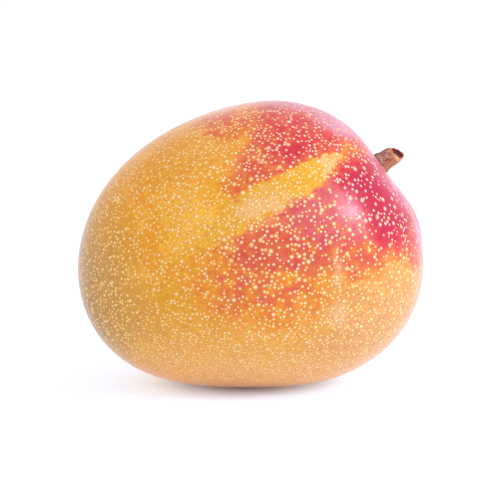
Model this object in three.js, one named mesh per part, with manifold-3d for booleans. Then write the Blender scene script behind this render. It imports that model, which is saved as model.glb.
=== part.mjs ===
// A ripe mango lying on its belly, with the broken stub of its stem.
// Millimetres. +Z is up and +X is the end that the stem grows from. The origin is on the
// surface that the fruit rests on, below the middle of the whole thing.
//
// The fruit is first shaped in its own frame: X along the axis from the tip to the stem,
// Y towards the far cheek and Z towards the back. It is then tilted and turned as it lies.

import * as THREE from 'three';
import * as BufferGeometryUtils from 'three/addons/utils/BufferGeometryUtils.js';
import Module from 'manifold-3d';

// ---- Driving dimensions ----

// Half sizes of the fruit along its axis, from belly to back, and from cheek to cheek.
const HALF_LENGTH = 52.8;
const HALF_HEIGHT = 48.2;
const HALF_WIDTH = 43.5;

// How much wider the cheeks are at the stem end than in the middle, as a share.
const CHEEK_TAPER = 0.08;

// Seen from the side the fruit isn't an ellipse. Each swell is a wave round that outline:
// how many crests it has, its height as a share of the radius, and the turn in degrees
// from the stem, round through the back, to its first crest.
const SWELLS = [
  { crests: 1, height: 0.06, turn: 180 },
  { crests: 2, height: 0.078, turn: -45 },
  { crests: 3, height: 0.0485, turn: 47 },
  { crests: 4, height: 0.009, turn: 22 },
  { crests: 5, height: 0.003, turn: -30 },
];

// The shallow hollow that the stem stands in.
const PIT_DEPTH = 1.6;
const PIT_RADIUS = 9;

// The furrow that runs from the pit down the belly, and the fuller shoulder beside it.
// Reach is measured out from the fruit's axis, and aside is measured across the furrow.
const FURROW_DEPTH = 1.6;
const FURROW_WIDTH = 5;
const FURROW_TURN = 9;
const FURROW_STARTS = 6;
const FURROW_ENDS = 38;
const SHOULDER_HEIGHT = 1.6;
const SHOULDER_ASIDE = 9;
const SHOULDER_WIDTH = 9;
const SHOULDER_REACH = 22;
const SHOULDER_LENGTH = 9;

// How the fruit lies: stem end lifted, then turned away, in degrees.
const LIFT = 35;
const TURN = 4;

// The fruit's own weight presses this much of its belly flat.
const FLAT_DEPTH = 0.9;

// The stem's radii, and its heights above the floor of the pit.
const ROOT_RADIUS = 2.3;
const ROOT_DEPTH = 3;
const COLLAR_RADIUS = 3.6;
const COLLAR_SUNK = 0.6;
const COLLAR_HEIGHT = 1.5;
const NECK_RADIUS = 3.1;
const NECK_HEIGHT = 2.6;
const SHANK_RADIUS = 2.55;
const SHANK_HEIGHT = 8;
const PITH_RADIUS = 1.6;
const PITH_DEPTH = 0.8;
const BARK_RIDGES = 9;
const BARK_RELIEF = 0.12;

// The way the stem points, above the level and round from +X, in degrees, and how far it
// stands below the middle of the pit. Its broken end leans: the lower side is the longer
// one, and the near side is the shorter one.
const STEM_RISE = 33;
const STEM_TURN = -8;
const STEM_BELOW = 0.85;
const BREAK_LEAN_DOWN = 27;
const BREAK_LEAN_NEAR = 12;

// Fruit and stem touch all round the root, and are kept this far apart there.
const CONTACT_GAP = 0.3;

// Facets of the fruit round its axis and along it, and of the stem round its own axis.
const FRUIT_AROUND = 80;
const FRUIT_ALONG = 46;
const RINGS_DRAWN_TO_STEM = 1.25;
const STEM_AROUND = 36;

// A box that is larger than anything here, for cutting with.
const CUTTER_SIZE = 300;

const radians = THREE.MathUtils.degToRad;
const { smoothstep } = THREE.MathUtils;

// A smooth hump that is 1 in its middle and fades out over its width.
const hump = (offset, width) => Math.exp(-((offset / width) ** 2));

// ---- Solids ----

const wasm = await Module();
wasm.setup();

function toSolid(geometry) {
  const bare = geometry.clone();
  bare.deleteAttribute('normal');
  bare.deleteAttribute('uv');
  const merged = BufferGeometryUtils.mergeVertices(bare);
  return new wasm.Manifold(new wasm.Mesh({
    numProp: 3,
    vertProperties: merged.attributes.position.array,
    triVerts: merged.index.array,
  }));
}

function toGeometry(solid) {
  const { vertProperties, triVerts } = solid.getMesh();
  const geometry = new THREE.BufferGeometry();
  geometry.setAttribute('position', new THREE.BufferAttribute(vertProperties, 3));
  geometry.setIndex(new THREE.BufferAttribute(triVerts, 1));
  geometry.computeVertexNormals();
  return geometry;
}

// ---- Fruit ----

// Turns what is drawn in the fruit's own frame to the way the fruit lies.
const lying = new THREE.Matrix4().makeRotationZ(radians(TURN))
  .multiply(new THREE.Matrix4().makeRotationY(-radians(LIFT)));

// The share of the plain radius that the swells give in one direction from the middle.
function swelling(direction) {
  const turn = Math.atan2(direction.z, direction.x);
  const inOutline = Math.hypot(direction.x, direction.z);
  let share = 1;
  for (const swell of SWELLS) {
    const phase = swell.crests * (turn - radians(swell.turn));
    share += swell.height * inOutline ** swell.crests * Math.cos(phase);
  }
  return share;
}

// The point of the skin in one direction from the middle, in the fruit's own frame.
function skinPoint(direction) {
  const share = swelling(direction);
  const cheeks = 1 + CHEEK_TAPER * direction.x;
  const point = new THREE.Vector3(
    HALF_LENGTH * direction.x * share,
    HALF_WIDTH * direction.y * share * cheeks,
    HALF_HEIGHT * direction.z * share,
  );
  if (direction.x <= 0) {
    return point;
  }
  const furrowTurn = radians(FURROW_TURN);
  const down = new THREE.Vector2(-Math.sin(furrowTurn), -Math.cos(furrowTurn));
  const reach = point.y * down.x + point.z * down.y;
  const aside = point.z * down.x - point.y * down.y;
  const starts = smoothstep(reach, 0, FURROW_STARTS);
  const ends = 1 - smoothstep(reach, FURROW_STARTS, FURROW_ENDS);
  const furrow = FURROW_DEPTH * hump(aside, FURROW_WIDTH) * starts * ends;
  const shoulder = SHOULDER_HEIGHT * hump(aside - SHOULDER_ASIDE, SHOULDER_WIDTH)
    * hump(reach - SHOULDER_REACH, SHOULDER_LENGTH);
  const pit = PIT_DEPTH * hump(Math.hypot(point.y, point.z), PIT_RADIUS);
  point.addScaledVector(direction, shoulder - furrow);
  point.x -= pit;
  return point;
}

// The whole skin as one closed mesh: a ball whose poles are at the stem and at the tip.
function skin() {
  const ball = new THREE.SphereGeometry(1, FRUIT_AROUND, FRUIT_ALONG);
  ball.rotateZ(-Math.PI / 2);
  const position = ball.attributes.position;
  const direction = new THREE.Vector3();
  for (let i = 0; i < position.count; i++) {
    direction.fromBufferAttribute(position, i);
    const fromStem = Math.acos(THREE.MathUtils.clamp(direction.x, -1, 1));
    const round = Math.atan2(direction.z, direction.y);
    const drawn = Math.PI * (fromStem / Math.PI) ** RINGS_DRAWN_TO_STEM;
    const ring = Math.sin(drawn);
    direction.set(Math.cos(drawn), ring * Math.cos(round), ring * Math.sin(round));
    position.setXYZ(i, ...skinPoint(direction));
  }
  return ball.applyMatrix4(lying);
}

// ---- Stem ----

// The stem standing on +Y with the floor of the pit at height 0, all round larger by a gap.
function uprightStem(gap) {
  const outline = [
    [0, -ROOT_DEPTH - gap],
    [ROOT_RADIUS + gap, -ROOT_DEPTH - gap],
    [COLLAR_RADIUS + gap, -COLLAR_SUNK - gap],
    [COLLAR_RADIUS + gap, COLLAR_HEIGHT + gap],
    [NECK_RADIUS + gap, NECK_HEIGHT],
    [SHANK_RADIUS + gap, SHANK_HEIGHT],
    [PITH_RADIUS, SHANK_HEIGHT],
    [PITH_RADIUS / 2, SHANK_HEIGHT - PITH_DEPTH],
    [0, SHANK_HEIGHT - PITH_DEPTH],
  ];
  const points = outline.map(([radius, height]) => new THREE.Vector2(radius, height));
  const stem = new THREE.LatheGeometry(points, STEM_AROUND);
  const position = stem.attributes.position;
  const point = new THREE.Vector3();
  for (let i = 0; i < position.count; i++) {
    point.fromBufferAttribute(position, i);
    const bark = smoothstep(point.y, COLLAR_HEIGHT, NECK_HEIGHT);
    const ridge = Math.cos(BARK_RIDGES * Math.atan2(point.z, point.x));
    const grown = 1 + (BARK_RELIEF / SHANK_RADIUS) * ridge * bark;
    const lean = smoothstep(point.y, NECK_HEIGHT, SHANK_HEIGHT - PITH_DEPTH);
    const longer = point.x * Math.tan(radians(BREAK_LEAN_DOWN))
      - point.z * Math.tan(radians(BREAK_LEAN_NEAR));
    position.setXYZ(i, point.x * grown, point.y + longer * lean, point.z * grown);
  }
  return stem;
}

// The stem in its pit: its own X turned to the lower side and its own Z to the near side.
function stemInPit(gap) {
  const floor = skinPoint(new THREE.Vector3(1, 0, 0)).applyMatrix4(lying);
  const rise = radians(STEM_RISE);
  const turn = radians(STEM_TURN);
  const along = new THREE.Vector3(
    Math.cos(rise) * Math.cos(turn),
    Math.cos(rise) * Math.sin(turn),
    Math.sin(rise),
  );
  const near = new THREE.Vector3().crossVectors(along, new THREE.Vector3(0, 0, 1)).normalize();
  const lower = new THREE.Vector3().crossVectors(along, near);
  floor.addScaledVector(lower, STEM_BELOW);
  const stand = new THREE.Matrix4().makeBasis(lower, along, near).setPosition(floor);
  return uprightStem(gap).applyMatrix4(stand);
}

// ---- Pieces ----

// The fruit with its belly pressed flat and the hole that the stem is rooted in.
function fruitGeometry() {
  const whole = skin();
  whole.computeBoundingBox();
  const ground = new THREE.BoxGeometry(CUTTER_SIZE, CUTTER_SIZE, CUTTER_SIZE);
  ground.translate(0, 0, whole.boundingBox.min.z + FLAT_DEPTH - CUTTER_SIZE / 2);
  const fruit = toSolid(whole).subtract(toSolid(ground));
  return toGeometry(fruit.subtract(toSolid(stemInPit(CONTACT_GAP))));
}

function stemGeometry() {
  return toGeometry(toSolid(stemInPit(0)));
}

const waxySkin = new THREE.MeshStandardMaterial({
  color: '#e2913f',
  roughness: 0.42,
  metalness: 0,
});

const driedBark = new THREE.MeshStandardMaterial({
  color: '#8d6250',
  roughness: 0.85,
  metalness: 0,
});

function piece(name, geometry, material) {
  const mesh = new THREE.Mesh(geometry, material);
  mesh.name = name;
  return mesh;
}

const mango = new THREE.Group();
mango.name = 'mango';
mango.add(piece('mango_fruit', fruitGeometry(), waxySkin));
mango.add(piece('stem_stub', stemGeometry(), driedBark));

// The origin goes below the middle, on the surface that the flat rests on.
const extent = new THREE.Box3().setFromObject(mango);
const middle = extent.getCenter(new THREE.Vector3());
mango.position.set(-middle.x, -middle.y, -extent.min.z);

export default mango;
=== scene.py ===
# %% [markdown]
# # A ripe mango with the stub of its stem
#
# The fruit lies on its belly with the stem end lifted. Its golden skin has a crimson blush,
# and thousands of pale lenticels, the pores that a mango breathes through, are dotted over
# it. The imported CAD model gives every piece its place. Here each piece is made again with a
# finer mesh and with a finish built from procedural nodes.

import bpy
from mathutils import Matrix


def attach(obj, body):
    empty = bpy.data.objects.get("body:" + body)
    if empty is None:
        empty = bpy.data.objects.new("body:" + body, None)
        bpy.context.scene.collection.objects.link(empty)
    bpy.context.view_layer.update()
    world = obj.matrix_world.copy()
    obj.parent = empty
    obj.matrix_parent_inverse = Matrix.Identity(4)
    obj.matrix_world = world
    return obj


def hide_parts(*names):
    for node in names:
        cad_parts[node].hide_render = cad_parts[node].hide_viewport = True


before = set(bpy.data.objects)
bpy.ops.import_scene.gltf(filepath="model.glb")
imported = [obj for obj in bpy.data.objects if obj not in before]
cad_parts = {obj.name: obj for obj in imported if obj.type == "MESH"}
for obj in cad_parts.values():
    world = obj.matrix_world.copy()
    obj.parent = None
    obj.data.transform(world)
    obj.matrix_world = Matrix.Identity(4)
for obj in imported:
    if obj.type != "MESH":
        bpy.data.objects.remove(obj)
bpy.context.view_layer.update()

# %% [markdown]
# ## Writing node trees as arithmetic
#
# Shapes and finishes are both built from node trees. They could be wired one node at a
# time, but a formula gets lost that way. A small class stands for one value in a tree, and
# Python's own plus and times signs add the Math nodes, so each formula can be read as one.

# %% A value in a node tree
import math

import bpy
from mathutils import Matrix, Vector
from mathutils import noise as random_field

MILLIMETRE = 0.001


class Value:
    """One number, vector or colour in a node tree. Arithmetic on it adds Math nodes."""

    def __init__(self, tree, socket):
        self.tree = tree
        self.socket = socket

    def math(self, operation, *others):
        """One Math node, or a Vector Math node where this is a vector or a colour."""
        vector = self.socket.type in ("VECTOR", "RGBA")
        node = self.tree.nodes.new("ShaderNodeVectorMath" if vector else "ShaderNodeMath")
        node.operation = operation
        for slot, value in zip(node.inputs, (self, *others)):
            join(self.tree, slot, value)
        scalar = operation in ("DOT_PRODUCT", "LENGTH", "DISTANCE")
        return Value(self.tree, node.outputs["Value" if scalar else 0])

    def __add__(self, other):
        return self.math("ADD", other)

    def __sub__(self, other):
        return self.math("SUBTRACT", other)

    def __rsub__(self, other):
        return (self * -1.0) + other

    def __mul__(self, other):
        return self.math("MULTIPLY", other)

    def __truediv__(self, other):
        return self.math("DIVIDE", other)

    def __pow__(self, other):
        return self.math("POWER", other)

    __radd__ = __add__
    __rmul__ = __mul__

    def part(self, axis):
        """One of a vector's numbers: 0, 1 or 2."""
        return add(self.tree, "ShaderNodeSeparateXYZ", {0: self}, output=axis)


def join(tree, slot, value):
    """Feeds an input: a Value by a link, and anything else as the input's own number."""
    if isinstance(value, Value):
        tree.links.new(value.socket, slot)
    elif slot.type == "VECTOR" and isinstance(value, (int, float)):
        slot.default_value = (value,) * 3
    elif slot.type == "RGBA":
        slot.default_value = (*value, 1.0)
    else:
        slot.default_value = value


def add(tree, kind, inputs=None, output=0, **settings):
    """Adds a node, sets it up and gives back one of its outputs."""
    node = tree.nodes.new(kind)
    for name, setting in settings.items():
        setattr(node, name, setting)
    for name, value in (inputs or {}).items():
        join(tree, node.inputs[name], value)
    return Value(tree, node.outputs[output])


def combine(tree, x, y, z):
    """Three numbers made one vector."""
    return add(tree, "ShaderNodeCombineXYZ", {0: x, 1: y, 2: z})


def smooth(value, start, end):
    """0 before start, 1 after end, and an even S-bend between them."""
    inputs = {"Value": value, "From Min": start, "From Max": end}
    return add(value.tree, "ShaderNodeMapRange", inputs, interpolation_type="SMOOTHSTEP")


def over(factor, under, top):
    """The top colour laid over the one under it."""
    # The Mix node has sockets for every type. Those for colours are 6 and 7, and output 2.
    inputs = {0: factor, 6: under, 7: top}
    return add(factor.tree, "ShaderNodeMix", inputs, output=2, data_type="RGBA")


def turned(vector, matrix):
    """The vector times a 3 by 3 matrix."""
    rows = [vector.math("DOT_PRODUCT", tuple(row)) for row in matrix]
    return combine(vector.tree, *rows)


def noise(place, size, detail=2.0, roughness=0.5, output=0):
    """Soft random blotches about as large as size, from 0 to 1."""
    inputs = {"Vector": place / size, "Scale": 1.0, "Detail": detail, "Roughness": roughness}
    return add(place.tree, "ShaderNodeTexNoise", inputs, output)


def geometry_tree(name, sizes):
    """A new geometry tree with named inputs. Gives back the tree and its inputs by name."""
    tree = bpy.data.node_groups.new(name, "GeometryNodeTree")
    tree.interface.new_socket("Geometry", in_out="OUTPUT", socket_type="NodeSocketGeometry")
    tree.interface.new_socket("Geometry", in_out="INPUT", socket_type="NodeSocketGeometry")
    kinds = {float: "NodeSocketFloat", int: "NodeSocketInt",
             bpy.types.Material: "NodeSocketMaterial"}
    for label, size in sizes.items():
        tree.interface.new_socket(label, in_out="INPUT", socket_type=kinds[type(size)])
    node = tree.nodes.new("NodeGroupInput")
    return tree, {socket.name: Value(tree, socket) for socket in node.outputs if socket.name}


def finish_tree(tree, geometry, material):
    """Ends a geometry tree: real geometry, smooth shading and a material."""
    real = add(tree, "GeometryNodeRealizeInstances", {0: geometry})
    even = add(tree, "GeometryNodeSetShadeSmooth", {0: real})
    painted = add(tree, "GeometryNodeSetMaterial", {"Geometry": even, "Material": material})
    join(tree, tree.nodes.new("NodeGroupOutput").inputs[0], painted)


def grown(name, tree, sizes, start):
    """Runs a geometry tree on a mesh and gives back the result as a plain object."""
    maker = bpy.data.objects.new(name + "_maker", start)
    bpy.context.scene.collection.objects.link(maker)
    modifier = maker.modifiers.new("Grow", "NODES")
    modifier.node_group = tree
    for item in tree.interface.items_tree:
        if item.in_out == "INPUT" and item.name in sizes:
            modifier[item.identifier] = sizes[item.name]
    graph = bpy.context.evaluated_depsgraph_get()
    mesh = bpy.data.meshes.new_from_object(maker.evaluated_get(graph))
    mesh.name = name
    bpy.data.objects.remove(maker)
    piece = bpy.data.objects.new(name, mesh)
    bpy.context.scene.collection.objects.link(piece)
    triangles = sum(len(face.vertices) - 2 for face in mesh.polygons)
    print(f"{name}: {len(mesh.vertices)} points, {triangles} triangles")
    return piece


print("helpers ready")

# %% [markdown]
# ## Camera and light
#
# A fruit on white needs light from all round it, so that the floor and the background burn
# out to white and only the touch shadow is left. A bright even sky does most of it, and one
# softbox on the right gives the skin its shape. The softbox is kept out of the gloss, and a
# narrow lamp in the same place, which shows in the gloss alone, draws the soft gleam on the
# shoulder. Seen from the tip and from behind, this gleam still burns out to white. A ring
# of lamps would light the fruit too, but with many gleams.

# %% Camera
CAMERA_AIM = Vector((-0.35, -0.4, 43.05)) * MILLIMETRE
CAMERA_DISTANCE = 700 * MILLIMETRE
CAMERA_ELEVATION = math.radians(10)
LENS = 157.5
FARTHEST_SEEN = 20

outwards = Vector((0, -math.cos(CAMERA_ELEVATION), math.sin(CAMERA_ELEVATION)))
camera = bpy.data.objects.new("camera", bpy.data.cameras.new("camera"))
camera.location = CAMERA_AIM + outwards * CAMERA_DISTANCE
camera.rotation_euler = (math.pi / 2 - CAMERA_ELEVATION, 0, 0)
camera.data.lens = LENS
camera.data.clip_end = FARTHEST_SEEN
bpy.context.scene.collection.objects.link(camera)
bpy.context.scene.camera = camera
print("camera at", tuple(round(x, 3) for x in camera.location))

# %% Sky
SKY_STRENGTH = 1.0

scene = bpy.context.scene
scene.view_settings.view_transform = "Standard"
world = bpy.data.worlds.new("studio")
world.use_nodes = True
sky = world.node_tree.nodes["Background"]
sky.inputs["Color"].default_value = (1, 1, 1, 1)
sky.inputs["Strength"].default_value = SKY_STRENGTH
scene.world = world
print("sky ready")

# %% Softbox, and the lamp that draws its gleam
SOFTBOX_WATTS = 3.4
SOFTBOX_COLOUR = (0.76, 0.9, 1.12)
SOFTBOX_SIDE = 0.22
SOFTBOX_DISTANCE = 0.75
SOFTBOX_FROM = Vector((0.835, -0.3, 0.435)).normalized()
GLEAM_WATTS = 190
GLEAM_LAMP_RADIUS = 0.124
GLEAM_CONE = math.radians(7)
GLEAM_BLEND = 1.0
GLEAM_AIM = Vector((39, -25, 57)) * MILLIMETRE

softbox = bpy.data.objects.new("softbox", bpy.data.lights.new("softbox", "AREA"))
softbox.data.energy = SOFTBOX_WATTS
softbox.data.size = SOFTBOX_SIDE
softbox.data.color = SOFTBOX_COLOUR
softbox.location = CAMERA_AIM + SOFTBOX_FROM * SOFTBOX_DISTANCE
softbox.rotation_euler = SOFTBOX_FROM.to_track_quat("Z", "Y").to_euler()
softbox.visible_glossy = False
scene.collection.objects.link(softbox)

gleam_lamp = bpy.data.objects.new("gleam_lamp", bpy.data.lights.new("gleam_lamp", "SPOT"))
gleam_lamp.data.energy = GLEAM_WATTS
gleam_lamp.data.color = SOFTBOX_COLOUR
gleam_lamp.data.shadow_soft_size = GLEAM_LAMP_RADIUS
gleam_lamp.data.spot_size = GLEAM_CONE
gleam_lamp.data.spot_blend = GLEAM_BLEND
gleam_lamp.location = softbox.location
gleam_lamp.rotation_euler = (softbox.location - GLEAM_AIM).to_track_quat("Z", "Y").to_euler()
gleam_lamp.visible_diffuse = False
scene.collection.objects.link(gleam_lamp)
print("softbox at", tuple(round(x, 3) for x in softbox.location))

# %% [markdown]
# ## The floor
#
# The floor is a sheet of white paper. Paper lit by a sky alone stays a little grey, so it
# glows faintly of its own, which burns it out to white. The glow fades towards the foot,
# which paints the shadow there, and the paper's colour is warmer there, a painted glow of
# the colour that the fruit throws on what it stands on. That leaves a small soft painted
# shadow with a warm edge. It could be had with a stronger sky too, but that would wash out
# the skin.

# %% White paper
FLOOR_HALF = 6.0
FLOOR_BELOW = 0.05 * MILLIMETRE
PAPER = (0.45, 0.55, 0.74)
# The warm light that the fruit throws on the paper by its foot, painted into the paper's colour.
PAINTED_BOUNCE_BY_FOOT = (0.46, 0.24, 0.2)
FLOOR_GLOW = 0.6
FLOOR_GLOW_COLOUR = (1, 0.96, 0.97, 1)
FOOT_SHADE = (17.5 * MILLIMETRE, 15.5 * MILLIMETRE, 1)
FOOT_SHADE_FROM = (-2 * MILLIMETRE, 0, 0)
PAINTED_BOUNCE_FADES = (0.5, 1.3)
GLOW_GROWS = (0.1, 2.1)

floor_mesh = bpy.data.meshes.new("floor")
corners = [(x * FLOOR_HALF, y * FLOOR_HALF, -FLOOR_BELOW)
           for x, y in ((-1, -1), (1, -1), (1, 1), (-1, 1))]
floor_mesh.from_pydata(corners, [], [(0, 1, 2, 3)])
floor = bpy.data.objects.new("floor", floor_mesh)
scene.collection.objects.link(floor)
paper = bpy.data.materials.new("white_paper")
paper.use_nodes = True
sheet = paper.node_tree.nodes["Principled BSDF"]
sheet.inputs["Roughness"].default_value = 1.0
sheet.inputs["Specular IOR Level"].default_value = 0.0
sheet.inputs["Emission Color"].default_value = FLOOR_GLOW_COLOUR
from_foot = add(paper.node_tree, "ShaderNodeTexCoord", output="Object") - FOOT_SHADE_FROM
from_foot = (from_foot / FOOT_SHADE).math("LENGTH")
# Painted bounce and painted shadow: the paper turns warmer by the foot, and its glow fades there.
paper_with_painted_bounce = over(smooth(from_foot, *PAINTED_BOUNCE_FADES), PAINTED_BOUNCE_BY_FOOT, PAPER)
glow_with_painted_shadow = smooth(from_foot, *GLOW_GROWS) * FLOOR_GLOW
join(paper.node_tree, sheet.inputs["Base Color"], paper_with_painted_bounce)
join(paper.node_tree, sheet.inputs["Emission Strength"], glow_with_painted_shadow)
floor.data.materials.append(paper)
print("floor:", 2 * FLOOR_HALF, "m wide")

# %% [markdown]
# ## The colours of the skin
#
# A mango's ground colour turns from green through olive to gold as it ripens, and the side
# that saw the sun has a crimson blush. The colours could be painted on an image, but an
# image can't be kept here and blurs close up. Instead, soft oval stains are laid one over
# another in space, in millimetres from the middle of the fruit's foot. Their edges are bent
# and feathered by noise that is drawn out from stem to tip, as the fibres of the fruit are.

# %% Helpers for stains
FRUIT_MIDDLE = (3.0, -0.1, 44.3)
LIFT = math.radians(35)
TURN = math.radians(4)
LYING = Matrix.Rotation(TURN, 3, "Z") @ Matrix.Rotation(-LIFT, 3, "Y")


def colour(red, green, blue):
    """A colour as it is seen on a screen, from 0 to 255, made ready for the renderer."""
    shares = [c / 255 for c in (red, green, blue)]
    return tuple(c / 12.92 if c <= 0.04045 else ((c + 0.055) / 1.055) ** 2.4 for c in shares)


def stain(place, centre, reach, turn=0, soft=0.5):
    """An oval stain: 1 at its heart, 0 outside. Turn tips its length up, in degrees."""
    level = Matrix.Rotation(math.radians(turn), 3, "Y")
    apart = turned(place - centre, level)
    distance = (apart / reach).math("LENGTH")
    return smooth(distance, 1 + soft, 1 - soft)


def deepest(*depths):
    """The strongest of several stains at each place."""
    strongest = depths[0]
    for other in depths[1:]:
        strongest = strongest.math("MAXIMUM", other)
    return strongest


def stains(place, rows):
    """A stain for each row of a list: middle, half sizes, turn, softness and strength."""
    return [stain(place, centre, reach, turn, soft) * strength
            for centre, reach, turn, soft, strength in rows]


def washed(under, place, rows):
    """Lays stains over a colour, one after another. Each row ends in its own colour."""
    for *shape, hue in rows:
        under = over(stains(place, [shape])[0], under, hue)
    return under


def shader_group(name, outputs):
    """A new shader group with named outputs."""
    tree = bpy.data.node_groups.new(name, "ShaderNodeTree")
    for label, kind in outputs.items():
        tree.interface.new_socket(label, in_out="OUTPUT", socket_type=kind)
    return tree


print("stains ready")

# %% The colours of the ground, of the blush and of the marks
GOLD = colour(225, 146, 4)
PALE_GOLD = colour(235, 170, 56)
OCHRE = colour(219, 146, 0)
# Olive and peach are also a painted sheen that greys the rims where they reach them.
OLIVE_AND_PAINTED_SHEEN = colour(176, 132, 66)
PEACH_AND_PAINTED_SHEEN = colour(203, 141, 92)
APRICOT = colour(225, 164, 90)
AMBER = colour(240, 152, 42)
YELLOW = colour(226, 152, 0)
STRAW = colour(218, 156, 40)
# Creamy is partly a painted sheen, on the streak's upper end and towards the top.
CREAMY_AND_PAINTED_SHEEN = colour(223, 168, 102)
# Tawny and moss darken the flank towards its lower rim by the tip; the moss is painted shade.
TAWNY = colour(192, 136, 44)
MOSS_AND_PAINTED_SHADE = colour(150, 108, 12)
ORANGE = colour(217, 112, 30)
SALMON = colour(222, 126, 82)
CORAL = colour(207, 84, 54)
# Rose is a pinker coral, partly the painted light of the gleam on the cheek.
ROSE_AND_PAINTED_GLEAM = colour(202, 84, 86)
RED = colour(200, 44, 48)
CRIMSON = colour(184, 0, 54)
# Pale pink bloom of the wax, which along the rims is also a painted sheen.
BLOOM_AND_RIM_SHEEN = colour(212, 161, 192)
RUBBED = colour(214, 166, 112)
SCAB = colour(222, 172, 140)
SCAB_EDGE = colour(134, 56, 50)
SCRATCH = colour(178, 78, 58)
PIN = colour(142, 118, 112)
FLUSH = colour(196, 20, 32)
print("colours ready")

# %% [markdown]
# ## What breaks up the colours
#
# Nothing on a mango ends in a clean line: the blush falls apart into blotches and streaks,
# and the gold is cloudy. A painted mask would have to show every one of them. Here a few
# noises of different sizes are made once. Two of them push the edges of the stains about,
# and the others make the colours uneven. Sizes and pushes are in millimetres.

# %% Noises for the edges and for the colours
BROAD_SIZE = 8.0
BROAD_PUSH = 6.0
RAGGED_SIZE = 1.6
RAGGED_PUSH = 3.6
FIBRES_DRAWN_OUT = (3.0, 1.0, 1.0)
GRAIN_SIZE = 0.5
PATCH_SIZE = 3.4
TINT_SIZE = 0.8
TINT_DRAWN_OUT = (1.6, 1.0, 1.0)
CLOUD_SIZE = 12.0

skin_colour = shader_group("Mango skin colour", {
    "Colour": "NodeSocketColor", "Blush": "NodeSocketFloat", "Relief": "NodeSocketFloat",
})
tree = skin_colour
here = add(tree, "ShaderNodeTexCoord", output="Object") / MILLIMETRE
along = turned(here - FRUIT_MIDDLE, LYING.transposed())
fibres = along / FIBRES_DRAWN_OUT
broad = (noise(here, BROAD_SIZE, detail=1.0, output=1) - 0.5) * BROAD_PUSH
ragged = noise(fibres, RAGGED_SIZE, detail=3.0, roughness=0.6, output=1)
ragged = (ragged - 0.5) * RAGGED_PUSH
bent = here + broad + ragged
frayed = bent + ragged
grain = noise(fibres, GRAIN_SIZE, detail=2.0, roughness=0.6) - 0.5
patches = noise(here, PATCH_SIZE, detail=3.0, roughness=0.55) - 0.5
tint = noise(along / TINT_DRAWN_OUT, TINT_SIZE, detail=3.0, roughness=0.7) - 0.5
cloud = noise(here, CLOUD_SIZE, detail=2.0) - 0.5
print("noises:", len(tree.nodes), "nodes")

# %% [markdown]
# ## The ground colour
#
# Gold is the ripe colour. The tip and the flank under it ripened last and are olive and
# brown, the belly is amber, and there are paler and yellower places round the blush. Where
# the olive of the tip and the peach of the lower cheek reach the rims, they are also a
# painted sheen, and the brown and the moss darken the flank towards its lower rim, the moss
# as painted shade. Stains are laid on in the order of their lists, as washes of paint are,
# so the last one shows most.

# %% Ground stains: middle, half sizes, turn, softness, strength and colour
TIP_AND_BELLY = [
    ((-17, -38, 59), (9, 30, 9), 0, 0.8, 0.9, PALE_GOLD),
    ((-19, -38, 32), (13, 30, 13), 0, 0.7, 1.0, OCHRE),
    # The olive tip, also a painted sheen along its rim.
    ((-54, -24, 42), (14, 60, 22), 12, 0.9, 0.9, OLIVE_AND_PAINTED_SHEEN),
    # Brown and moss, darker towards the lower rim; the moss is painted shade.
    ((-44, -24, 22), (16, 34, 16), 0, 0.8, 0.8, TAWNY),
    ((-45, -6, 21), (17, 17, 20), 0, 0.6, 0.85, MOSS_AND_PAINTED_SHADE),
    ((2, -32, 4), (50, 50, 18), 0, 0.8, 0.8, APRICOT),
]
CHEEK_AND_BACK = [
    # The peach of the lower cheek, also a painted sheen along the rim.
    ((38, -30, 28), (18, 40, 18), 0, 0.7, 0.6, PEACH_AND_PAINTED_SHEEN),
    ((-10, -35, 69), (7, 14, 6), -10, 0.6, 1.0, YELLOW),
    # Creamy towards the top, partly a painted sheen.
    ((-7, -26, 79), (16, 20, 9), 25, 0.8, 0.2, CREAMY_AND_PAINTED_SHEEN),
]
AMBER_HEIGHTS = (14.0, 2.0)
AMBER_STRENGTH = 0.6
CLOUDY = (0.0, 0.24)
CLOUDY_STRENGTH = 0.5

ground = over(smooth(cloud + patches * 1.6, *CLOUDY) * CLOUDY_STRENGTH, GOLD, PALE_GOLD)
ground = washed(ground, bent, TIP_AND_BELLY)
ground = over(smooth(bent.part(2), *AMBER_HEIGHTS) * AMBER_STRENGTH, ground, AMBER)
ground = washed(ground, bent, CHEEK_AND_BACK)
print("ground stains:", len(TIP_AND_BELLY) + len(CHEEK_AND_BACK))

# %% [markdown]
# ## The blush
#
# The side that saw the sun is crimson, and a golden streak runs through the red. One painted
# shape could hold both, but then its edge couldn't be told from its depth. So the blush is a
# number here: 0 is bare gold and above 1 is the deepest red. Each stain gives a depth, the
# deepest one counts, and the streak is taken away again. The far cheek has a blush of its
# own, which is let in behind the ridge of the back.

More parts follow.
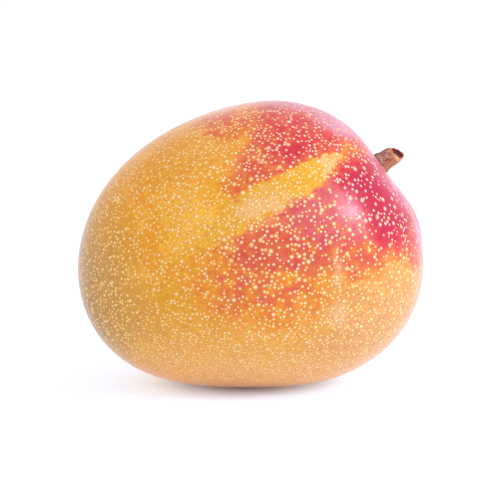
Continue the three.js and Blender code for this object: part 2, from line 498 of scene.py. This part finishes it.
# %% Blush stains: middle, half sizes, turn, softness and strength
BLUSH_STAINS = [
    ((27, -28, 64), (25, 34, 19), 0, 0.25, 0.6),      # the wash over the whole cheek
    ((17, -14, 85), (17, 30, 11), -12, 0.35, 0.78),   # the back, above the streak
    ((8, -24, 79), (9, 14, 9), 0, 0.5, 0.7),
    ((15, -26, 79), (13, 16, 6), 15, 0.8, 0.88),
    ((36, -24, 67), (13, 20, 10), -35, 0.7, 1.4),     # the deep red round the pit
    ((44, -18, 59), (11, 30, 13), -25, 0.6, 1.2),
    ((40, -14, 69), (7, 12, 9), 0, 0.6, 1.3),
    ((34, -6, 80), (14, 14, 8), 45, 0.5, 0.75),
    ((12, -40, 51), (22, 16, 8), 2, 0.5, 0.62),       # the tongue across the cheek
    ((4, -42, 40), (19, 20, 12), 0, 0.9, 0.4),
    ((-1, -37, 68), (7, 14, 6), -60, 0.7, 0.5),       # patches at the streak's lower end
    ((2, -32, 74), (8, 14, 6), 0, 0.7, 0.5),
    ((31, -36, 47), (12, 20, 6), 0, 0.6, 0.5),        # below the pit
    ((51, -9, 50.5), (7, 20, 9.5), 0, 0.6, 0.75),
    ((-8, -16, 86), (13, 12, 4.5), 0, 0.7, 0.45),     # the tail along the back
]
FAR_BLUSH_STAINS = [
    ((22, 18, 72), (34, 34, 24), -20, 0.5, 0.8),
    ((40, 16, 68), (20, 26, 16), -30, 0.6, 1.25),
    ((14, 22, 84), (18, 20, 10), -15, 0.6, 1.0),
]
STREAK_STAINS = [
    ((14.5, -34, 70.4), (16.5, 16, 4.4), 25, 0.4, 1.0),
    ((-6, -40, 59), (9, 16, 4.5), 35, 0.7, 0.8),
    ((31, -22, 75), (4.5, 8, 4.5), 0, 0.8, 0.35),
]
FAR_SIDE = (-14.0, 8.0)
STREAK_DEPTH = 0.9
BLUSH_PATCHES = 1.15
BLUSH_GRAIN = 0.4

far_side = smooth(here.part(1), *FAR_SIDE)
far_blush = [depth * far_side for depth in stains(bent, FAR_BLUSH_STAINS)]
blush = deepest(*stains(bent, BLUSH_STAINS), *far_blush)
streak = sum(stains(frayed, STREAK_STAINS))
broken_up = smooth(blush, 0.0, 0.35)
blush = blush - streak * STREAK_DEPTH
blush = blush + (patches * BLUSH_PATCHES + grain * BLUSH_GRAIN) * broken_up
print("blush stains:", len(BLUSH_STAINS) + len(FAR_BLUSH_STAINS))

# %% From gold to crimson
# The pale ends of the streak, partly a painted sheen.
PALE_AND_SHEEN_ENDS = [
    ((25, -29, 74.5), (5, 14, 6), 0, 0.5, 1.0),
    ((3, -39, 63.5), (8, 14, 4), 30, 0.5, 1.0),
]
SALMON_STAINS = [
    ((8, -36, 62), (17, 16, 8), 28, 0.6, 1.0),
    ((1, -32, 76), (9, 14, 6), 0, 0.7, 0.6),
]
# A pinker coral over the gleam on the cheek: partly a painted highlight.
ROSY_GLEAM_STAIN = ((28, -34, 61), (20, 24, 10), 0, 0.5, 1.0)

creamy_and_sheen = smooth(patches * 2.5 + deepest(*stains(bent, PALE_AND_SHEEN_ENDS)), 0.25, 1.0)
in_streak = smooth(streak + patches * 1.2, 0.04, 0.5)
salmon = deepest(*stains(bent, SALMON_STAINS))
rosy_and_gleam = stains(bent, [ROSY_GLEAM_STAIN])[0] + patches * 1.6
skin = over(in_streak, ground, over(creamy_and_sheen, STRAW, CREAMY_AND_PAINTED_SHEEN))

# Each red takes over from the one before it as the blush deepens from start to end.
REDS = [
    (0.02, 0.38, over(salmon, ORANGE, SALMON)),
    (0.28, 0.6, over(smooth(rosy_and_gleam, 0.2, 0.9), CORAL, ROSE_AND_PAINTED_GLEAM)),
    (0.58, 0.92, RED),
    (0.88, 1.25, CRIMSON),
]
for start, end, red in REDS:
    skin = over(smooth(blush, start, end), skin, red)
print("reds:", len(REDS))

# %% [markdown]
# ## Bloom and painted sheen, speckle and small scars
#
# Wax makes a pale pink haze, the bloom, where nothing rubbed it off, and the cheek has one
# dull rubbed mark. Along the rims the pink haze is also a painted sheen, the white
# surroundings mirrored at a low angle. Under the wax the skin is speckled. A grey speckle
# would look like dust, so red hardly varies in it, green varies a little and blue varies
# most, which turns the gold paler and deeper. Last come the flush round the stem and a few
# scars, each a tiny stain.

# %% Bloom and painted rim sheen, rubbed skin: middle, half sizes, turn, softness, strength and colour
# Along the rims these stains also paint the sheen of the wax.
BLOOM_AND_SHEEN_STAINS = [
    ((25, 5, 80), (46, 14, 33), 0, 0.5, 0.48),
    ((58, 0, 50), (8, 13, 22), 0, 0.6, 0.4),
    ((42, 2, 70), (20, 15, 13), 45, 0.6, 0.6),
    ((26, -9, 85), (9, 7, 6), 0, 0.6, 0.5),
]
RUBS = [
    ((26.1, -39, 43.5), (1.5, 9, 6.5), 0, 0.8, 0.55, RUBBED),
    ((26.8, -36, 29.5), (2.4, 9, 3.4), 0, 0.8, 0.75, RUBBED),
]
BLOOM_AND_SHEEN_CLOUDS = 1.2
VIVID = 3.4
VIVID_LOST_IN_STREAK = 2.4
DARKEST_BLUE = -0.9
CLOUD_SHADE = 0.15

skin = washed(skin, here + broad * 0.4 + ragged * 0.5, RUBS)
# The bloom, and along the rims a painted sheen, clouded by noise.
bloom_and_sheen = deepest(*stains(bent, BLOOM_AND_SHEEN_STAINS))
skin = over(bloom_and_sheen * (cloud * BLOOM_AND_SHEEN_CLOUDS + patches + 1.0), skin, BLOOM_AND_RIM_SHEEN)
vivid = VIVID - in_streak * VIVID_LOST_IN_STREAK
blue = (tint * vivid + grain).math("MAXIMUM", DARKEST_BLUE)
speckle = combine(tree, grain * 0.5, grain * 1.5, blue)
skin = skin * (speckle + (cloud * CLOUD_SHADE + 1.0))
print("bloom stains:", len(BLOOM_AND_SHEEN_STAINS))

# %% The flush round the stem, and the scars: middle, half sizes, turn and colour
STEM_FLUSH = ((41.0, -4.0, 70.8), (4.6, 9.5, 5.2), 0, 0.4, 0.8, FLUSH)
SCARS = [
    ((3.0, -32.3, 75.8), (0.9, 3.0, 0.55), 15, SCAB),
    ((4.1, -32.0, 75.7), (0.45, 3.0, 0.4), 50, SCAB_EDGE),
    ((3.0, -32.5, 75.0), (0.7, 3.0, 0.2), 5, SCAB_EDGE),
    ((15.8, -18.1, 85.4), (0.7, 2.5, 0.2), 0, SCRATCH),
    ((-34.8, -23.4, 66.3), (0.25, 2.0, 0.25), 0, PIN),
    ((-33.9, -25.1, 65.5), (0.25, 2.0, 0.25), 0, PIN),
    ((-36.5, -23.8, 64.1), (0.22, 2.0, 0.22), 0, PIN),
    ((-34.4, -26.7, 62.9), (0.28, 2.0, 0.28), 0, PIN),
    ((-39.3, -22.3, 62.3), (0.25, 2.0, 0.25), 0, PIN),
    ((-31.9, -33.6, 28.9), (0.28, 2.0, 0.28), 0, PIN),
    ((-24.2, -26.8, 11.7), (0.3, 2.5, 0.25), 0, PIN),
]
SCAR_SOFT = 0.7
SCAR_STRENGTH = 0.8
PORE_SIZE = 0.7
DIMPLE_SIZE = 3.5

skin = washed(skin, here, [STEM_FLUSH])
scars = [(*shape, SCAR_SOFT, SCAR_STRENGTH, hue) for *shape, hue in SCARS]
skin = washed(skin, here + ragged * 0.2, scars)
relief = noise(here, PORE_SIZE, detail=2.0) * 0.6 + noise(here, DIMPLE_SIZE, detail=1.0)
result = tree.nodes.new("NodeGroupOutput")
join(tree, result.inputs["Colour"], skin)
join(tree, result.inputs["Blush"], blush)
join(tree, result.inputs["Relief"], relief)
print("skin colour:", len(tree.nodes), "nodes and", len(SCARS), "scars")

# %% [markdown]
# ## The wax
#
# A mango is satin, not glossy: its wax is thin and full of pores, and from a low angle it
# looks whiter. A single roughness would look like plastic. So fine pores and shallow dimples
# vary it, a weak coat gives the gleam its core, and a weak pinkish sheen pales the rims.

# %% The waxy finish
WAX = {
    "IOR": 1.36,
    "Coat Weight": 0.1,
    "Coat Roughness": 0.3,
    "Sheen Weight": 0.35,
    "Sheen Roughness": 0.3,
    "Sheen Tint": (1.0, 0.9, 1.0, 1.0),
}
WAX_ROUGHNESS = 0.26
RELIEF_ROUGHNESS = 0.08
BUMP_STRENGTH = 0.25
BUMP_DEPTH = 0.05 * MILLIMETRE


def waxy(name):
    """A satin waxy skin that takes its colour from the shared group."""
    material = bpy.data.materials.new(name)
    material.use_nodes = True
    tree = material.node_tree
    group = tree.nodes.new("ShaderNodeGroup")
    group.node_tree = skin_colour
    painted, blushed, relief = (Value(tree, socket) for socket in group.outputs)
    shader = tree.nodes["Principled BSDF"]
    bump = add(tree, "ShaderNodeBump", {
        "Strength": BUMP_STRENGTH, "Distance": BUMP_DEPTH, "Height": relief,
    })
    join(tree, shader.inputs["Base Color"], painted)
    join(tree, shader.inputs["Normal"], bump)
    join(tree, shader.inputs["Roughness"], relief * RELIEF_ROUGHNESS + WAX_ROUGHNESS)
    for label, value in WAX.items():
        shader.inputs[label].default_value = value
    return material, painted, blushed, shader


mango_skin, *_ = waxy("mango_skin")
print("wax ready")

# %% [markdown]
# ## The fruit
#
# The fruit grew as one smooth body: a lopsided egg with a pit at the stem, a furrow that
# runs from the pit down the belly, and a flat where it rests. It could be sculpted, but its
# outline follows a rule, a ball with a few waves round it, so Geometry Nodes draw it. A flat
# grid is wrapped round, which also gives a map of the skin for baking.

# %% The sizes of the fruit, in millimetres, and the waves round its outline
FRUIT_SIZES = {
    "Points around": 271,
    "Points along": 191,
    "Drawn to stem": 1.25,
    "Half length": 52.8,
    "Half height": 48.2,
    "Half width": 43.5,
    "Cheek taper": 0.08,
    "Pit depth": 1.6,
    "Pit radius": 9.0,
    "Furrow depth": 1.6,
    "Furrow width": 5.0,
    "Furrow starts": 6.0,
    "Furrow ends": 38.0,
    "Shoulder height": 1.6,
    "Shoulder aside": 9.0,
    "Shoulder width": 9.0,
    "Shoulder reach": 22.0,
    "Shoulder length": 9.0,
    "Unevenness": 0.25,
    "Flat depth": 0.9,
    "Flat edge": 0.3,
    "Material": mango_skin,
}
# Each swell has a number of crests, a height as a share of the radius, and a turn in degrees.
SWELLS = [(1, 0.06, 180), (2, 0.078, -45), (3, 0.0485, 47), (4, 0.009, 22), (5, 0.003, -30)]
FURROW_TURN = math.radians(9)
UNEVEN_SPREAD = 0.3
SEAM_GAP = 1e-6
print("fruit:", len(FRUIT_SIZES), "inputs and", len(SWELLS), "swells")


# %% Helpers for fields
def hump(offset, width):
    """1 in the middle, fading out over the width."""
    bell = (offset / width) ** 2.0
    return (bell * -1.0).math("EXPONENT")


def store(geometry, name, value, data_type, domain="POINT"):
    """Keeps a field on the mesh as a named attribute."""
    inputs = {"Geometry": geometry, "Name": name, "Value": value}
    settings = {"data_type": data_type, "domain": domain}
    return add(geometry.tree, "GeometryNodeStoreNamedAttribute", inputs, **settings)


print("fields ready")

# %% Wrap a grid into the fruit
tree, size = geometry_tree("Mango shape", FRUIT_SIZES)
grid = add(tree, "GeometryNodeMeshGrid", {
    "Size X": 1.0, "Size Y": 1.0,
    "Vertices X": size["Points around"], "Vertices Y": size["Points along"],
})
grid_map = Value(tree, grid.socket.node.outputs["UV Map"])
mapped = store(grid, "OFBake", grid_map, "FLOAT2", "CORNER")

spot = add(tree, "GeometryNodeInputPosition")
from_stem = (spot.part(1) + 0.5) ** size["Drawn to stem"] * math.pi
around = (spot.part(0) + 0.5) * (-2 * math.pi)
ring = from_stem.math("SINE")
x = from_stem.math("COSINE")
y = ring * around.math("COSINE")
z = ring * around.math("SINE")
direction = combine(tree, x, y, z)

in_outline = (x * x + z * z).math("SQRT")
outline_turn = z.math("ARCTAN2", x)
share = 1.0
for crests, height, turn in SWELLS:
    wave = ((outline_turn - math.radians(turn)) * crests).math("COSINE")
    share = share + in_outline ** crests * wave * height
point = combine(
    tree,
    x * share * size["Half length"],
    y * share * size["Half width"] * (x * size["Cheek taper"] + 1.0),
    z * share * size["Half height"],
)

side, back = point.part(1), point.part(2)
down_side, down_back = -math.sin(FURROW_TURN), -math.cos(FURROW_TURN)
reach = side * down_side + back * down_back
aside = back * down_side - side * down_back
furrow = hump(aside, size["Furrow width"]) * size["Furrow depth"]
furrow = furrow * smooth(reach, 0.0, size["Furrow starts"])
furrow = furrow * (1.0 - smooth(reach, size["Furrow starts"], size["Furrow ends"]))
shoulder = hump(aside - size["Shoulder aside"], size["Shoulder width"])
shoulder = shoulder * hump(reach - size["Shoulder reach"], size["Shoulder length"])
pit = hump((side * side + back * back).math("SQRT"), size["Pit radius"])
stem_half = x.math("GREATER_THAN", 0.0)
uneven = (noise(direction, UNEVEN_SPREAD, detail=1.0) - 0.5) * size["Unevenness"]
raised = (shoulder * size["Shoulder height"] - furrow) * stem_half + uneven
sunk = combine(tree, pit * size["Pit depth"] * stem_half, 0.0, 0.0)
point = point + direction * raised - sunk
print("fruit tree:", len(tree.nodes), "nodes so far")

# %% Lay it down, press its foot flat and close its seam
lying = add(tree, "GeometryNodeSetPosition", {
    "Geometry": mapped, "Position": turned(point, LYING),
})
box = add(tree, "GeometryNodeBoundBox", {0: lying}).socket.node
low, high = Value(tree, box.outputs["Min"]), Value(tree, box.outputs["Max"])
middle = (low + high) * 0.5
foot = combine(tree, middle.part(0), middle.part(1), low.part(2) + size["Flat depth"])
level = add(tree, "GeometryNodeInputPosition") - foot
pressed = level.part(2).math("SMOOTH_MAX", 0.0, size["Flat edge"])
placed = add(tree, "GeometryNodeSetPosition", {
    "Geometry": lying,
    "Position": combine(tree, level.part(0), level.part(1), pressed) * MILLIMETRE,
})
closed = add(tree, "GeometryNodeMergeByDistance", {
    "Geometry": placed, "Distance": SEAM_GAP,
})
finish_tree(tree, closed, size["Material"])
fruit = grown("fruit", tree, FRUIT_SIZES, bpy.data.meshes.new("start"))
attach(fruit, "root")
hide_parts("mango_fruit")

# %% [markdown]
# ## The lenticels
#
# Each lenticel is a pinhead of cork under the wax: a cream heart, a yellow halo, and then
# the colour of the skin. In the blush heart and halo are pinker, and some hearts are honey
# yellow, most of all those of large lenticels and those near the tip. They could be printed
# into the skin's colour, but on the real fruit they stand a hair proud and catch the light,
# so each one is a very low dome with a few facets. Its fade is 0 at the rim and 1 in the
# middle, and the higher its tone is, the more honey its heart has.

# %% The finish of a lenticel
HALO = colour(230, 166, 84)
HEART = colour(242, 218, 168)
HONEY = colour(241, 203, 104)
ROSY_HALO = colour(223, 144, 128)
ROSY_HEART = colour(241, 208, 184)
RIM_SHADE = 0.12
RIM_WIDTH = 0.12
HALO_FADE = (0.0, 0.46)
HALO_STRENGTH = 0.85
HEART_FADE = (0.4, 0.82)
HONEY_TONE = (0.35, 0.95)
ROSY_BLUSH = (0.35, 0.9)

lenticel_skin, painted, blushed, shader = waxy("lenticel")
tree = lenticel_skin.node_tree
fade = add(tree, "ShaderNodeAttribute", output=2, attribute_name="fade")
tone = add(tree, "ShaderNodeAttribute", output=2, attribute_name="tone")
in_blush = smooth(blushed, *ROSY_BLUSH)
shaded = painted * (1.0 - smooth(fade, 0.0, RIM_WIDTH) * RIM_SHADE)
halo = over(in_blush, HALO, ROSY_HALO)
halo = over(smooth(fade, *HALO_FADE) * HALO_STRENGTH, shaded, halo)
heart = over(smooth(tone, *HONEY_TONE), over(in_blush, HEART, ROSY_HEART), HONEY)
join(tree, shader.inputs["Base Color"], over(smooth(fade, *HEART_FADE), halo, heart))
print("lenticel finish ready")

# %% [markdown]
# ## Scattering the lenticels
#
# Lenticels are large and wide apart towards the stem, and small and close towards the tip.
# Placing thousands by hand is no work for a maker, and a plain random draw would let them
# overlap. Geometry Nodes scatter two broods, each with a least distance, and the small ones
# are kept clear of the large ones. The large ones are fewer on top. The small ones are fewer
# towards the stem, but not in the golden streak, and hardly on top.

# %% Where they grow
LENTICEL_SIZES = {
    "Seed": 7,
    "Large spacing": 1.9,
    "Large per area": 0.11,
    "Large radius": 1.0,
    "Small spacing": 0.9,
    "Small per area": 0.84,
    "Small radius": 0.7,
    "Clear": 0.95,
    "Height": 0.06,
    "Sunk": 0.03,
    "Above foot": 0.6,
    "Sides": 6,
    "Material": lenticel_skin,
}
CLUMP_SIZE = 4.0
CLUMP_EDGES = (0.35, 0.6)
TOP_HEIGHTS = (70.0, 82.0)
STEM_END = (8.0, 36.0)
LARGE_GROW = (-45.0, 5.0)
DENSE_STREAK = ((12, -35, 69), (24, 20, 6), 29, 0.5, 1.0)

tree, size = geometry_tree("Lenticels", LENTICEL_SIZES)
here = add(tree, "GeometryNodeInputPosition") / MILLIMETRE
stemward = turned(here - FRUIT_MIDDLE, LYING.transposed()).part(0)
off_foot = here.part(2).math("GREATER_THAN", size["Above foot"])
clumps = smooth(noise(here, CLUMP_SIZE, detail=2.0), *CLUMP_EDGES)
streak = stains(here, [DENSE_STREAK])[0]
on_top = smooth(here.part(2), *TOP_HEIGHTS)
thinned = smooth(stemward, *STEM_END) * (1.0 - streak) * (1.0 - on_top * 0.7) * 0.5
small_share = (clumps * 0.6 + 0.4) * (1.0 - thinned) * off_foot
large_share = smooth(stemward, *LARGE_GROW) * (1.0 - on_top * 0.6) * off_foot
print("lenticels:", LENTICEL_SIZES["Sides"], "sides each")

# %% Two broods
RADIUS_SHARES = (0.6, 1.2)
TONE_SEED = 10
LARGE_TONE = 1.2
SMALL_TONE = 0.75
TIP_END = (8.0, -45.0)
TIP_TONE = 0.3


def drawn(lowest, highest, seed):
    """A random number for each point, between the lowest and the highest."""
    inputs = {2: lowest, 3: highest, "Seed": seed}
    return add(tree, "FunctionNodeRandomValue", inputs, output=1, data_type="FLOAT")


def brood(label, where, highest_tone, seed):
    """Points scattered evenly over the skin, each with its own radius, tone and facing."""
    spread = add(tree, "GeometryNodeDistributePointsOnFaces", {
        "Mesh": size["Geometry"],
        "Distance Min": size[label + " spacing"] * MILLIMETRE,
        "Density Max": size[label + " per area"] / MILLIMETRE ** 2,
        "Density Factor": where,
        "Seed": size["Seed"] + seed,
    }, distribute_method="POISSON")
    facing = Value(tree, spread.socket.node.outputs["Rotation"])
    share = drawn(*RADIUS_SHARES, size["Seed"] + seed)
    tone = drawn(0.0, highest_tone, size["Seed"] + seed + TONE_SEED)
    tone = tone + smooth(stemward, *TIP_END) * TIP_TONE
    points = store(spread, "facing", facing, "QUATERNION")
    points = store(points, "tone", tone, "FLOAT")
    return store(points, "radius", share * size[label + " radius"], "FLOAT")


large = brood("Large", large_share, LARGE_TONE, 0)
small = brood("Small", small_share, SMALL_TONE, 1)
nearest = add(tree, "GeometryNodeProximity", {"Geometry": large}, output=1,
              target_element="POINTS")
crowded = nearest.math("LESS_THAN", size["Clear"] * MILLIMETRE)
small = add(tree, "GeometryNodeDeleteGeometry", {"Geometry": small, "Selection": crowded},
            domain="POINT")
both = tree.nodes.new("GeometryNodeJoinGeometry")
for points in (small, large):
    join(tree, both.inputs[0], points)
scattered = Value(tree, both.outputs[0])
numbered = store(scattered, "cell", add(tree, "GeometryNodeInputIndex"), "INT")
print("lenticel tree:", len(tree.nodes), "nodes so far")

# %% One low dome
MAP_REACH = 0.42

cone = add(tree, "GeometryNodeMeshCone", {
    "Vertices": size["Sides"], "Side Segments": 2, "Radius Top": 0.0,
    "Radius Bottom": 1.0, "Depth": 1.0,
}, fill_type="NONE")
flat = add(tree, "GeometryNodeInputPosition") * (1.0, 1.0, 0.0)
off_centre = flat.math("LENGTH")
dome_height = (1.0 - off_centre ** 2.0) * (size["Height"] + size["Sunk"]) - size["Sunk"]
dome = store(cone, "fade", 1.0 - off_centre, "FLOAT")
dome = store(dome, "local", flat * MAP_REACH + 0.5, "FLOAT_VECTOR")
dome = add(tree, "GeometryNodeSetPosition", {
    "Geometry": dome, "Position": flat + combine(tree, 0.0, 0.0, dome_height),
})
print("dome ready")


# %% Set a dome on every point, each with a square of the map for baking
def named(name, data_type):
    """Reads a named attribute back as a field."""
    return add(tree, "GeometryNodeInputNamedAttribute", {"Name": name}, data_type=data_type)


radius = named("radius", "FLOAT")
planted = add(tree, "GeometryNodeInstanceOnPoints", {
    "Points": numbered, "Instance": dome, "Rotation": named("facing", "QUATERNION"),
    "Scale": combine(tree, radius, radius, 1.0) * MILLIMETRE,
})
real = add(tree, "GeometryNodeRealizeInstances", {0: planted})
count = add(tree, "GeometryNodeAttributeDomainSize", {0: numbered}, component="POINTCLOUD")
rows = count.math("SQRT").math("CEIL")
cell, local = named("cell", "INT"), named("local", "FLOAT_VECTOR")
column = cell.math("MODULO", rows)
row = (cell / rows).math("FLOOR")
cell_map = combine(tree, (column + local.part(0)) / rows, (row + local.part(1)) / rows, 0.0)
real = store(real, "OFBake", cell_map, "FLOAT2", "CORNER")
for name in ("cell", "local", "radius", "facing"):
    real = add(tree, "GeometryNodeRemoveAttribute", {"Geometry": real, "Name": name})
finish_tree(tree, real, size["Material"])
lenticels = grown("lenticels", tree, LENTICEL_SIZES, fruit.data)
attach(lenticels, "root")

# %% [markdown]
# ## The stub of the stem
#
# The stem is a twig of wood that broke when the fruit was picked: a creviced collar where it
# leaves the skin, ridged bark, and a torn end with a darker hollow in it. Carving it from a
# cylinder would take many small cuts. It is round in section, so it is turned as on a
# lathe from a short profile, and noise that runs along the grain raises its bark.

# %% The stem's profile: radius, height above the floor of the pit, and steps to the next
PIT_FLOOR = 45.9
STEM_RISE = math.radians(33)
STEM_TURN = math.radians(-8)
STEM_AROUND = 96
STEM_BELOW = 0.4
STEM_PROFILE = [
    (0.0, -3.0, 1), (2.3, -3.0, 5), (3.3, -0.8, 4), (3.6, 0.1, 4), (3.3, 0.55, 4),
    (3.55, 1.0, 4), (3.35, 1.6, 4), (3.15, 2.2, 4), (3.1, 3.0, 14), (2.95, 5.2, 6),
    (2.75, 6.0, 6), (2.3, 6.9, 3), (2.05, 7.0, 4), (1.6, 6.8, 4), (1.1, 6.4, 4),
    (0.6, 6.2, 2), (0.0, 6.2, 0),
]
BREAK_LEAN_DOWN = math.tan(math.radians(17))
BREAK_LEAN_NEAR = math.tan(math.radians(17))
SPUR = 0.28
BREAK_BEGINS = 11
LEAN_FROM = 2.6
LEAN_OVER = 4.6
TORN_THROUGH = 3.0

# The relief of the bark, the collar and the break.
BARK_GRAIN = 0.16
BARK_FINE = 0.07
BARK_CRACKS = 0.07
COLLAR_MIDDLE = 0.8
COLLAR_REACH = 1.3
COLLAR_LUMPS = 0.34
TORN_SMOOTHING = 0.7
FIBRE_HEIGHT = 0.45
SPLINTER_HEIGHT = 0.22
FIBRE_RADIUS = 3.0


def stem_rows():
    """Radius, height and how far into the break each ring of the stem is."""
    rows = []
    for k, (start, end) in enumerate(zip(STEM_PROFILE, STEM_PROFILE[1:])):
        for step in range(start[2]):
            share = step / start[2]
            radius = start[0] + (end[0] - start[0]) * share
            height = start[1] + (end[1] - start[1]) * share
            rows.append((radius, height, max(0.0, k + share - BREAK_BEGINS)))
    return rows[1:]


def bark(angle, radius, height, torn):
    """How far bark and torn fibres stand out, and how far they stand up."""
    way = Vector((math.cos(angle), math.sin(angle), 0))
    grain = random_field.noise(way * 4.2 + Vector((0, 0, height * 0.16)))
    fine = random_field.noise(way * 11 + Vector((5, 0, height * 0.3)))
    cracks = random_field.noise(way * 1.7 + Vector((0, 9, height * 1.9)))
    collar = max(0.0, 1 - abs(height - COLLAR_MIDDLE) / COLLAR_REACH)
    lumps = random_field.noise(way * 2.6 + Vector((3, 3, height * 1.1))) * COLLAR_LUMPS * collar
    out = BARK_GRAIN * grain + BARK_FINE * fine + BARK_CRACKS * cracks + lumps
    fibre = random_field.noise(way * (5 * radius / FIBRE_RADIUS) + Vector((7, 7, radius * 0.4)))
    splinter = random_field.noise(way * (13 * radius / FIBRE_RADIUS) + Vector((1, 7, radius * 0.9)))
    up = (FIBRE_HEIGHT * fibre + SPLINTER_HEIGHT * splinter) * min(1.0, torn)
    return out * (1 - min(1.0, torn) * TORN_SMOOTHING), up


print("stem profile:", len(stem_rows()), "rings")

# %% Turn the stem and stand it in its pit
rows = stem_rows()
middle = Vector(FRUIT_MIDDLE)
axis = Vector((
    math.cos(STEM_RISE) * math.cos(STEM_TURN),
    math.cos(STEM_RISE) * math.sin(STEM_TURN),
    math.sin(STEM_RISE),
))
near = axis.cross(Vector((0, 0, 1))).normalized()
lower = axis.cross(near)
STAND = Matrix((lower, near, axis)).transposed()
stem_foot = middle + LYING @ Vector((PIT_FLOOR, 0, 0)) + lower * STEM_BELOW

points, torn_share = [], []
for radius, height, torn in rows:
    for k in range(STEM_AROUND):
        angle = 2 * math.pi * k / STEM_AROUND
        out, up = bark(angle, radius, height, torn)
        grown_radius = radius + out * min(1.0, radius)
        x, y = grown_radius * math.cos(angle), grown_radius * math.sin(angle)
        lean = min(1.0, max(0.0, (height - LEAN_FROM) / LEAN_OVER)) ** 2
        spur = max(0.0, x) * max(0.0, -y) * SPUR
        lift = (x * BREAK_LEAN_DOWN - y * BREAK_LEAN_NEAR + spur) * lean
        points.append(stem_foot + STAND @ Vector((x, y, height + up + lift)))
        torn_share.append(min(1.0, torn / TORN_THROUGH))
faces = []
for row in range(len(rows) - 1):
    for k in range(STEM_AROUND):
        k2 = (k + 1) % STEM_AROUND
        a, b = row * STEM_AROUND + k, row * STEM_AROUND + k2
        faces.append((a, a + STEM_AROUND, b + STEM_AROUND, b))
for row, turn in ((0, 1), (len(rows) - 1, -1)):
    ring = list(range(row * STEM_AROUND, (row + 1) * STEM_AROUND))
    centre = sum((points[k] for k in ring), Vector()) / STEM_AROUND
    points.append(centre)
    torn_share.append(float(row > 0))
    for k in range(STEM_AROUND):
        pair = (ring[k], ring[(k + 1) % STEM_AROUND])[::turn]
        faces.append((*pair, len(points) - 1))
stem_mesh = bpy.data.meshes.new("stem")
stem_mesh.from_pydata([point * MILLIMETRE for point in points], [], faces)
stem_mesh.attributes.new("torn", "FLOAT", "POINT").data.foreach_set("value", torn_share)
stem_mesh.shade_smooth()
stem = bpy.data.objects.new("stem", stem_mesh)
scene.collection.objects.link(stem)
print("stem:", len(points), "points")

# %% [markdown]
# ## The finish of the stem
#
# Dry bark is dull and pinkish brown, with dark streaks and pale flecks along the grain. The
# collar is almost black in its crevices, and the torn end goes from tan through orange to a
# dark maroon heart. Noise is drawn out along the stem's own axis, so the streaks follow it.

# %% Bark and torn wood
BARK = colour(170, 116, 104)
BARK_DARK = colour(112, 66, 52)
BARK_PALE = colour(222, 190, 172)
COLLAR = colour(158, 134, 106)
COLLAR_DARK = colour(38, 30, 22)
TAN = colour(188, 116, 66)
PITH_PALE = colour(228, 190, 152)
RIM = colour(186, 82, 34)
MAROON = colour(62, 16, 20)
PLUM = colour(96, 44, 62)
STREAK_SIZE = 0.55
STREAKS_DRAWN_OUT = (1.0, 1.0, 5.0)
FLECK_SIZE = 0.42
FLECKS_DRAWN_OUT = (1.0, 1.0, 2.2)
CREVICE_SIZE = 0.7
BARK_SPECULAR = 0.2
BARK_ROUGHNESS = 0.6
BARK_BUMP = 0.6
BARK_BUMP_DEPTH = 0.15 * MILLIMETRE

stem_bark = bpy.data.materials.new("stem_bark")
stem_bark.use_nodes = True
tree = stem_bark.node_tree
shader = tree.nodes["Principled BSDF"]
here = add(tree, "ShaderNodeTexCoord", output="Object") / MILLIMETRE - tuple(stem_foot)
own = turned(here, STAND.transposed())
height = own.part(2)
streaks = noise(own / STREAKS_DRAWN_OUT, STREAK_SIZE, detail=3.0, roughness=0.65)
flecks = noise(own / FLECKS_DRAWN_OUT, FLECK_SIZE, detail=1.0)
crevices = noise(own, CREVICE_SIZE, detail=2.0)

# The bark, its creviced collar, the tan of its lower side and of the break, and pale flecks.
wood = over(smooth(streaks, 0.5, 0.36), BARK, BARK_DARK)
wood = over(smooth(flecks, 0.56, 0.68) * 0.8, wood, BARK_PALE)
collar = over(smooth(crevices, 0.5, 0.36), COLLAR, COLLAR_DARK)
wood = over(smooth(height + streaks, 2.3, 1.6), wood, collar)
below = smooth(own.part(0) + streaks * 2.0, -0.6, 3.0)
wood = over(below * 0.6, wood, TAN)
wood = over(smooth(height + flecks * 3.0, 6.6, 7.6) * 0.85, wood, TAN)
band = smooth(height, 5.4, 6.2) * smooth(height, 7.4, 6.8)
wood = over(smooth(flecks, 0.5, 0.62) * band * 0.85, wood, PITH_PALE)

# The torn end, which is 0 on the bark and 1 in the hollow.
torn = add(tree, "ShaderNodeAttribute", output=2, attribute_name="torn")
torn = torn + (streaks - 0.5) * 0.25
wood = over(smooth(torn, 0.05, 0.25), wood, RIM)
heartwood = over(smooth(crevices, 0.46, 0.6), MAROON, PLUM)
wood = over(smooth(torn, 0.32, 0.6), wood, heartwood)

join(tree, shader.inputs["Base Color"], wood)
join(tree, shader.inputs["Roughness"], streaks * 0.3 + BARK_ROUGHNESS)
shader.inputs["Specular IOR Level"].default_value = BARK_SPECULAR
grain = add(tree, "ShaderNodeBump", {
    "Strength": BARK_BUMP, "Distance": BARK_BUMP_DEPTH, "Height": streaks + crevices,
})
join(tree, shader.inputs["Normal"], grain)
stem_mesh.materials.append(stem_bark)
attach(stem, "root")
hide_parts("stem_stub")
print("bark:", len(tree.nodes), "nodes")
